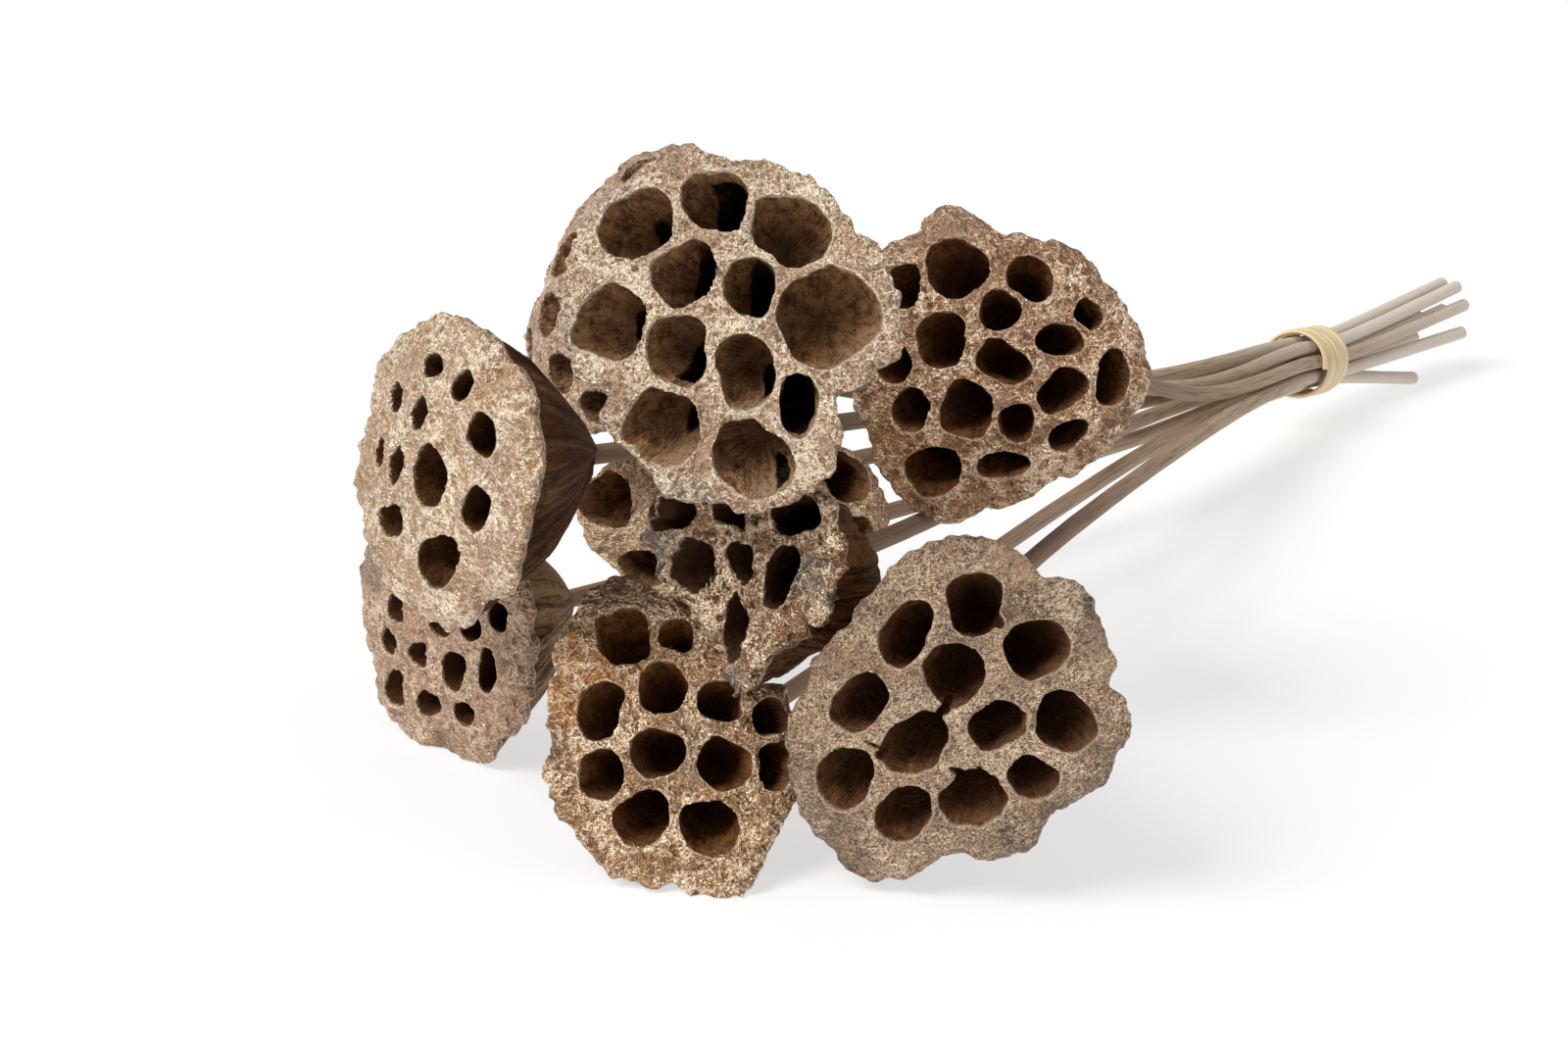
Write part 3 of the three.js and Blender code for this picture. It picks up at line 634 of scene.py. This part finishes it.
def stem_path(pod):
    stem = pod["stem"]
    placed = facing(pod)
    reach = stem.get("reach", 1)
    right = reach * math.cos(math.radians(stem["slot"]))
    up = reach * math.sin(math.radians(stem["slot"]))
    tie_end = TIE_LENGTH / 2 + TIE_MARGIN
    points = [
        placed @ Vector((0, 0, -pod["depth"])),
        placed @ Vector((0, 0, -pod["depth"] - stem.get("straight", STEM_STRAIGHT))),
        along_bunch(*stem["gather"], -GATHER_AT),
        along_bunch(SLOT_RADIUS * right, SLOT_RADIUS * up, -tie_end),
        along_bunch(SLOT_RADIUS * right, SLOT_RADIUS * up, tie_end),
        along_bunch(*stem["cut"]),
    ]
    sunk = placed @ Vector((0, 0, STEM_SUNK - pod["depth"]))
    return [sunk, *centripetal(points, STEM_POINTS // 5)]


def strand_layout(name, points, outward):
    """A row of edges along a path, with the way that is outward at each point."""
    mesh = bpy.data.meshes.new(name + "_layout")
    mesh.from_pydata(points, [(i, i + 1) for i in range(len(points) - 1)], [])
    data = mesh.attributes.new("outward", "FLOAT_VECTOR", "POINT").data
    for point, vector in zip(data, outward):
        point.vector = vector
    return mesh


def strand_tree():
    """A strand swept along a path: a stem with ridges, or a turn of the band."""
    shape = Shape("strand", {
        "Width": "Float", "Thickness": "Float", "Sides": "Int", "Swell": "Float", "Ridges": "Float",
        "Knots": "Float", "Seed": "Float", "Material": "Material",
    })
    layout = Value(shape, shape.start.outputs["Geometry"])
    path = shape.put("GeometryNodeMeshToCurve", {"Mesh": layout})
    outward = shape.named("outward", "FLOAT_VECTOR")
    path = shape.put("GeometryNodeSetCurveNormal", {"Curve": path, "Normal": outward}, mode="FREE")
    length = Value(shape, shape.node("GeometryNodeSplineParameter").outputs["Length"])
    path = shape.store(path, "along", length)
    swell = 1 + shape.given("Swell") * calc("EXPONENT", 0 - length / 7)
    knots = noise(joined(length, shape.given("Seed") * 19, 0), 0.05, 2) - 0.5
    radius = swell + knots * shape.given("Knots")
    path = shape.put("GeometryNodeSetCurveRadius", {"Curve": path, "Radius": radius})
    terms = {"Resolution": shape.given("Sides"), "Radius": 0.5}
    circle = shape.put("GeometryNodeCurvePrimitiveCircle", terms)
    turn = Value(shape, shape.node("GeometryNodeSplineParameter").outputs["Factor"])
    circle = shape.store(circle, "turn", turn * math.tau)
    circle = shape.put("GeometryNodeTransform", {
        "Geometry": circle, "Scale": joined(shape.given("Thickness"), shape.given("Width"), 1.0),
    })
    mesh = shape.put("GeometryNodeCurveToMesh", {"Curve": path, "Profile Curve": circle, "Fill Caps": True})
    angle = shape.named("turn")
    around = joined(
        calc("COSINE", angle), calc("SINE", angle), shape.named("along") * 0.012 + shape.given("Seed") * 7)
    ridge = (noise(around, 3.2, 3, 0.6) - 0.5) * shape.given("Ridges")
    normal = shape.put("GeometryNodeInputNormal")
    offset = shape.put("ShaderNodeVectorMath", {0: normal, "Scale": ridge}, operation="SCALE")
    mesh = shape.put("GeometryNodeSetPosition", {"Geometry": mesh, "Offset": offset})
    mesh = shape.store(mesh, "strand", around, "FLOAT_VECTOR")
    mesh = shape.put("GeometryNodeTransform", {"Geometry": mesh, "Scale": (MM, MM, MM)})
    x, y, z = parts(shape.position())
    on_table = joined(x, y, calc("MAXIMUM", z, 0))
    mesh = shape.put("GeometryNodeSetPosition", {"Geometry": mesh, "Position": on_table})
    return shape.finish(mesh)


def make_stem(pod, tree, material):
    path = stem_path(pod)
    layout = strand_layout(pod["name"] + "_stem", path, [Vector((0, 0, 1))] * len(path))
    return baked(pod["name"] + "_stem", layout, tree, {
        "Width": 2 * STEM_RADIUS, "Thickness": 2 * STEM_RADIUS, "Sides": 20, "Swell": 0.75, "Ridges": 0.5,
        "Knots": 0.16, "Seed": float(pod["seed"]), "Material": material,
    })


BAND_TURNS = 6.4
BAND_POINTS = 48  # in one turn
BAND_WIDTH = 3.5
BAND_THICKNESS = 1.5
BAND_GAP = 0.6  # between the stems and the band
LOOSE_TURNS = 1.3
LOOSE_SLIP = 5
LOOSE_LIFT = 0.5


def make_band(tree, material):
    """A band wound round the stems, with its first turn slipped off the others."""
    middle = SLOT_RADIUS + STEM_RADIUS + BAND_GAP + BAND_THICKNESS / 2
    points = []
    outward = []
    last = round(BAND_TURNS * BAND_POINTS)
    for step in range(last + 1):
        part = step / last
        angle = math.tau * BAND_TURNS * part
        loose = max(0, 1 - part * BAND_TURNS / LOOSE_TURNS)
        along = (part - 0.5) * (TIE_LENGTH - BAND_WIDTH) + 0.8 * math.sin(angle * 0.37 + 1)
        along -= LOOSE_SLIP * loose
        radius = middle + 0.25 * math.sin(angle * 0.5) + 0.2 * math.sin(angle * 2.3) + LOOSE_LIFT * loose
        points.append(along_bunch(radius * math.cos(angle), radius * math.sin(angle), along))
        outward.append(along_bunch(math.cos(angle), math.sin(angle), 0) - along_bunch(0, 0, 0))
    return baked("tie_band", strand_layout("tie_band", points, outward), tree, {
        "Width": BAND_WIDTH, "Thickness": BAND_THICKNESS, "Sides": 16, "Swell": 0.0, "Ridges": 0.3,
        "Knots": 0.3, "Seed": 40.0, "Material": material,
    })


# Finishes


def tone(code):
    """A colour as it looks on a screen, such as b49a80, as the shader takes it."""
    shades = [int(code[place:place + 2], 16) / 255 for place in (0, 2, 4)]
    linear = [s / 12.92 if s <= 0.04045 else ((s + 0.055) / 1.055) ** 2.4 for s in shades]
    return (*linear, 1)


class Finish(Plan):
    """A material under construction."""

    def __init__(self, name):
        self.material = bpy.data.materials.new(name)
        self.material.use_nodes = True
        super().__init__(self.material.node_tree)
        self.shader = self.tree.nodes["Principled BSDF"]

    def carried(self, label, pick="Fac"):
        return self.put("ShaderNodeAttribute", pick=pick, attribute_name=label)

    def mix(self, share_of_second, first, second):
        terms = {0: share_of_second, 6: first, 7: second}
        return self.put("ShaderNodeMix", terms, pick=2, data_type="RGBA")

    def relief(self, height, strength, distance):
        terms = {"Strength": strength, "Distance": distance, "Height": height}
        return self.put("ShaderNodeBump", terms)

    def set(self, **values):
        for label, value in values.items():
            self.feed(self.shader.inputs[label.replace("_", " ")], value)


# Tones used on every pod. The sparkle tone is a painted highlight, and the tones for deep pit walls,
# hollows and the flank's creases and low spots are painted shade
PAINTED_SPARKLE = "ffeed4"
SPECK = "4a3a2e"
WORN_RIM = "66594f"
PIT_SHADE = "503018"
PIT_DEPTH_SHADE = "5c3822"
HOLLOW_SHADE = "080402"
BARK_SHADE = "2a1a10"


def pod_skin(
        name, seed, face, painted_highlight, dark, patch, flank, pit, gloss, glint_strength, specks, patches=0.5, dusty=0.5,
        stains=(), shaded_holes=1.0, lit_walls_and_overspray=0.15, knit=0.36):
    """Dried pod under a thin metallic paint, which is missing from its pits and its flank.

    Face to pit are colours. Gloss, glitter, specks, patches, dusty, holes and spray are amounts, and knit
    is how close the creases of the paint lie. A stain is (right, up, radius, colour, strength).
    """
    skin = Finish(name)
    place = skin.carried("pod_place", "Vector")
    around = skin.carried("around", "Vector")
    from_pit = skin.carried("from_pit")
    from_hollow = skin.carried("from_hollow")
    below = skin.carried("below_face")
    reach = skin.carried("reach")

    lumps = noise(place, 0.32, 4, 0.62) - 0.5
    grain = noise(place, 1.5, 2, 0.6) - 0.5
    dust = noise(place, 3.2, 1, 0.5) - 0.5
    broad = noise(place, 0.06, 3, 0.6)
    streaks = noise(around, 12, 4, 0.65)

    # Face under metallic paint: painted shade in its hollows and crinkle valleys, painted highlights on its
    # crests
    paint = skin.mix(ease(broad, 0.46, 0.62) * patches, tone(face), tone(patch))
    crinkle = calc("ABSOLUTE", noise(place, knit, 3, 0.55) - 0.5)
    # Painted shade: darker in the low spots and crinkle valleys, mixed with random grain
    hollow_shade_and_grain = lumps * 0.5 + grain * 0.5 + dust * dusty - crinkle * 0.7
    paint = skin.mix(ease(hollow_shade_and_grain, 0.0, -0.26), paint, tone(dark))
    # Painted highlights: the highlight tone on the crinkle crests, and a brighter painted sparkle on their
    # tips
    crest = crinkle - grain * 0.3 - dust * 0.3 - (noise(place, 0.11, 3, 0.55) - 0.5) * 0.45
    painted_glint = ease(crest, 0.1, -0.02) * glint_strength
    paint = skin.mix(painted_glint, paint, tone(painted_highlight))
    paint = skin.mix(ease(crest - grain * 0.3, 0.02, -0.08) * glint_strength * 0.8, paint, tone(PAINTED_SPARKLE))
    paint = skin.mix(ease(grain + dust * 0.9, -0.03, -0.26) * 0.65, paint, tone(dark))
    on_pod = moved(place, (-SEED_STEP[0] * seed, -SEED_STEP[1] * seed, 0))
    for middle_x, middle_y, stain_radius, colour, strength in stains:
        terms = (on_pod, (middle_x, middle_y, 0))
        off = skin.put("ShaderNodeVectorMath", terms, "Value", operation="DISTANCE")
        stained = ease(off / stain_radius + lumps * 1.2, 1.1, 0.5) * strength * (0.75 - painted_glint * 0.5)
        paint = skin.mix(stained, paint, tone(colour))
    speck = ease(noise(place, 0.75, 5, 0.8) + (broad - 0.5) * 0.4, 0.56, 0.62) * specks
    paint = skin.mix(speck, paint, tone(SPECK))

    # The lips of the pits are painted lighter as a painted highlight, and the rim's very edge is bare in
    # places
    lip = ease(from_pit, 0.5, 0.2) * ease(below, 1.0, 0.3)
    paint = skin.mix(lip * 0.45, paint, tone(painted_highlight))
    worn = ease(reach + lumps * 0.4, 0.97, 1.06) * 0.7
    paint = skin.mix(worn, paint, tone(WORN_RIM))

    # Pits: fibres run down the wall, and painted shade makes it darker the deeper it goes
    ray = skin.carried("pit_ray", "Vector")
    along_wall = moved(stretched(ray, (1, 1, 9)), joined(0, 0, below * 0.03))
    across_x, across_y, _ = parts(ray)
    fibres = noise(moved(along_wall, joined(0, 0, lumps * 0.7)), 8, 4, 0.7) - 0.5
    bright = ease(fibres * 0.8 + lumps * 0.8 + grain * 0.15, -0.24, 0.24)
    inside = skin.mix(bright, tone(PIT_SHADE), tone(pit))
    # Painted shade deeper down the pit
    inside = skin.mix(ease(below, 7, 18) * 0.8, inside, tone(PIT_DEPTH_SHADE))
    # The lower right walls near the mouth are painted lighter where the light falls, over a little
    # overspray of the face's paint
    lit_wall_and_overspray = ease(across_x - across_y + lumps * 2, 0.1, 1.5) * ease(below + lumps * 8, 10, 2) * lit_walls_and_overspray
    inside = skin.mix(lit_wall_and_overspray * ease(fibres + grain * 0.5, -0.25, 0.1), inside, tone(face))
    # The hollows are painted near black as painted shade, standing in for the shade of a deep opening
    inside = skin.mix(ease(from_hollow, 0.4, -0.1) * ease(below, 2, 4) * shaded_holes, inside, tone(HOLLOW_SHADE))
    in_pit = ease(from_pit, 0.6, 0.15) * ease(below + grain * 2.5, 0.5, 1.3)
    look = skin.mix(in_pit, paint, inside)

    # Flank: streaks run down it, and painted shade, with some grain, darkens its creases and low spots
    bark = skin.mix(ease(streaks, 0.4, 0.7) * 0.5, tone(flank), tone(dark))
    bark = skin.mix(ease(grain + lumps, -0.02, -0.25) * 0.7, bark, tone(BARK_SHADE))
    creases = calc("ABSOLUTE", noise(around, 5, 3, 0.6) - 0.5)
    bark = skin.mix(ease(creases, 0.06, 0.0) * 0.75, bark, tone(BARK_SHADE))
    on_flank = ease(below + lumps * 4, 1.8, 3.0) * ease(from_pit, 0.3, 0.9)
    look = skin.mix(on_flank, look, bark)

    bare = calc("MAXIMUM", in_pit, on_flank)
    height = lumps - crinkle * 2.2 + grain * 0.5 + dust * 0.15
    height = height + (streaks * 0.6 + creases * 3) * on_flank + fibres * in_pit * 1.3
    normal = skin.relief(height, 0.9, 0.0015)
    skin.set(
        Base_Color=look, Metallic=(1 - bare) * (painted_glint * 0.25 + gloss), Roughness=0.33 + bare * 0.37,
        Specular_IOR_Level=0.5 - bare * 0.4, Normal=normal)
    return skin.material


def stem_bark():
    bark = Finish("stem_bark")
    strand = bark.carried("strand", "Vector")
    along = bark.carried("along")
    streaks = noise(strand, 5, 4, 0.65)
    look = bark.mix(ease(along, 50, 240), tone("8a6c54"), tone("b89e84"))
    look = bark.mix(ease(streaks, 0.45, 0.72) * 0.8, look, tone("594636"))
    look = bark.mix(ease(along, 270, 420) * 0.75, look, tone("e6dccf"))
    normal = bark.relief(streaks, 0.5, 0.0006)
    bark.set(Base_Color=look, Roughness=0.7, Normal=normal)
    return bark.material


def band_rubber():
    rubber = Finish("band_rubber")
    strand = rubber.carried("strand", "Vector")
    cloud = noise(strand, 4, 3)
    look = rubber.mix(ease(cloud, 0.35, 0.7), tone("ecd8b0"), tone("d2b887"))
    normal = rubber.relief(cloud, 0.2, 0.0004)
    rubber.set(
        Base_Color=look, Roughness=0.5, Normal=normal, Subsurface_Weight=0.25,
        Subsurface_Radius=(0.004, 0.0025, 0.0012))
    return rubber.material


SKINS = {
    "left": dict(
        face="c0a080", painted_highlight="fce8cc", dark="9c7a5a", patch="b8a08c", flank="5c3416", pit="744c2c",
        gloss=0.65, glint_strength=0.75, specks=0.0, knit=0.42,
        stains=((16, -26, 12, "a48468", 0.6), (-27, -4, 12, "b08c6c", 0.6))),
    "low_left": dict(
        face="b8947a", painted_highlight="ecd0ae", dark="80604a", patch="b09480", flank="a98660", pit="6e482e",
        gloss=0.6, glint_strength=0.45, specks=0.1,
        stains=((-26, 12, 12, "857467", 0.7), (0, -30, 8, "7c6656", 0.6))),
    "top": dict(
        face="caa88a", painted_highlight="feeace", dark="866449", patch="b0a090", flank="66462c", pit="b88a60",
        gloss=0.6, glint_strength=0.9, specks=0.2, patches=0.3, lit_walls_and_overspray=0.75, knit=0.5,
        stains=(
            (-37, -2, 7, "8f8982", 0.8), (-8, -37, 8, "8c857e", 0.8), (33, -13, 8, "8f867c", 0.8),
            (36, 12, 8, "a08c78", 0.6), (2, 38, 12, "a08466", 0.5))),
    "top_back": dict(
        face="b8927a", painted_highlight="ecd0ac", dark="7a5a42", patch="ad9380", flank="80583a", pit="d0a47a",
        gloss=0.6, glint_strength=0.6, specks=0.1, lit_walls_and_overspray=0.4),
    "middle_back": dict(
        face="c49c7e", painted_highlight="f0d2aa", dark="84634a", patch="b89a84", flank="86603f", pit="bc8a5c",
        gloss=0.6, glint_strength=0.7, specks=0.1),
    "middle": dict(
        face="a07c5e", painted_highlight="f2d6b4", dark="5c3f2b", patch="96826f", flank="804e26", pit="5a3d2a",
        gloss=0.75, glint_strength=0.9, specks=0.15, patches=0.4, knit=0.32,
        stains=(
            (-25, 3, 8, "86807a", 0.85), (-5, -25, 7, "8e8780", 0.85), (17, 2, 6, "938a82", 0.7),
            (15, -9, 8, "7c5535", 0.8), (0, -6, 5, "6e4c32", 0.6))),
    "bottom": dict(
        face="b08a68", painted_highlight="f8dab6", dark="765338", patch="b08a60", flank="64422a", pit="a0683a",
        gloss=0.7, glint_strength=0.9, specks=0.1, patches=0.4, knit=0.4,
        stains=(
            (-22, 12, 12, "a86e30", 0.9), (-8, 31, 12, "7a5c48", 0.8), (-28, -2, 6, "5c4230", 0.7),
            (2, -2, 10, "a08c76", 0.5))),
    "bottom_right": dict(
        face="bc9a7e", painted_highlight="eed2b0", dark="6e5642", patch="988270", flank="5e442e", pit="906040",
        gloss=0.45, glint_strength=0.5, specks=0.8, dusty=1.2, shaded_holes=0.0, knit=0.8,
        stains=(
            (-32, -26, 14, "766252", 0.6), (10, -33, 10, "70604f", 0.6), (28, -20, 10, "807060", 0.5),
            (13, 34, 9, "c4a280", 0.7), (32, 16, 8, "b8987a", 0.6))),
    "right": dict(
        face="b28a6a", painted_highlight="f6d4b0", dark="775640", patch="a0744c", flank="683f20", pit="a06a40",
        gloss=0.65, glint_strength=0.75, specks=0.15, patches=0.5,
        stains=(
            (-24, -24, 13, "8f5e30", 0.8), (-4, -33, 9, "9a6a3e", 0.7), (-12, 36, 12, "b89a80", 0.6),
            (28, 24, 10, "8c7260", 0.6), (30, -12, 9, "8e7868", 0.5))),
}
RELIEF = {  # millimetres that a face crumples by, and share of full ribs on the flank
    "left": (1.4, 0.35), "low_left": (1.2, 1.0), "top": (1.2, 0.5), "top_back": (1.3, 0.6),
    "middle_back": (1.4, 0.6), "middle": (2.4, 1.3), "bottom": (2.0, 0.5), "bottom_right": (0.7, 0.4),
    "right": (1.5, 0.5),
}

# Stage

CAMERA_AT = Vector((290, -670, 246.5)) + BUNCH_SHIFT
CAMERA_DOWN = 18
CAMERA_TURN = 31
FLOOR_HALF = 6  # metres
FLOOR_DROP = 0.0003  # metres
# The paper glows as well as taking light, which lightens the shadows cast on it: painted light, as the
# paper is no lamp
PAPER_GLOW = 0.63
SKY_STRENGTH = 0.37
LAMPS = (  # name, strength, spread, turn from the camera, height, in degrees
    ("key", 2.5, 30, -58, 50), ("left", 0.4, 30, -105, 14), ("side", 0.3, 50, 60, 40),
)


def make_camera():
    data = bpy.data.cameras.new("camera")
    data.lens = 60
    data.sensor_width = 36
    data.clip_start = 0.01
    camera = bpy.data.objects.new("camera", data)
    camera.location = CAMERA_AT * MM
    camera.rotation_euler = Euler((math.radians(90 - CAMERA_DOWN), 0, math.radians(CAMERA_TURN)))
    bpy.context.scene.collection.objects.link(camera)
    bpy.context.scene.camera = camera


def make_floor():
    paper = Finish("white_paper")
    grain = noise(paper.put("ShaderNodeTexCoord", pick="Object"), 60, 2)
    paper.set(
        Base_Color=paper.mix(grain, (0.35, 0.35, 0.35, 1), (0.36, 0.36, 0.36, 1)), Roughness=0.9,
        Emission_Color=(1, 1, 1, 1), Emission_Strength=PAPER_GLOW)
    mesh = bpy.data.meshes.new("floor")
    signs = ((-1, -1), (1, -1), (1, 1), (-1, 1))
    corners = [(x * FLOOR_HALF, y * FLOOR_HALF, -FLOOR_DROP) for x, y in signs]
    mesh.from_pydata(corners, [], [(0, 1, 2, 3)])
    mesh.materials.append(paper.material)
    floor = bpy.data.objects.new("floor", mesh)
    bpy.context.scene.collection.objects.link(floor)


def make_lights():
    world = bpy.data.worlds.new("studio")
    world.use_nodes = True
    background = world.node_tree.nodes["Background"]
    background.inputs["Color"].default_value = (1, 1, 1, 1)
    background.inputs["Strength"].default_value = SKY_STRENGTH
    bpy.context.scene.world = world
    for name, strength, spread, turn, up in LAMPS:
        data = bpy.data.lights.new(name, "SUN")
        data.energy = strength
        data.angle = math.radians(spread)
        lamp = bpy.data.objects.new(name, data)
        lamp.rotation_euler = Euler((math.radians(90 - up), 0, math.radians(CAMERA_TURN + turn)))
        bpy.context.scene.collection.objects.link(lamp)


# The bunch

make_camera()
make_floor()
make_lights()
bpy.context.scene.view_settings.view_transform = "Standard"

pods_made = pod_tree()
strands_made = strand_tree()
bark = stem_bark()

for number, pod in enumerate(PODS, 1):
    pod["seed"] = number
    pod["lobe_start"] = math.tau * share(number, 1)
    pod["wave_start"] = math.tau * share(number, 2)
    skin = pod_skin(pod["name"] + "_pod_skin", number, **SKINS[pod["name"]])
    head = make_pod(pod, pods_made, skin, *RELIEF[pod["name"]])
    stem = make_stem(pod, strands_made, bark)
    for piece, kind, slot in ((head, "_pod", pod["slot"]), (stem, "_stem", "stem")):
        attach(piece, "root")
        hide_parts(pod["name"] + kind)

band = make_band(strands_made, band_rubber())
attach(band, "root")
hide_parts("tie_band")
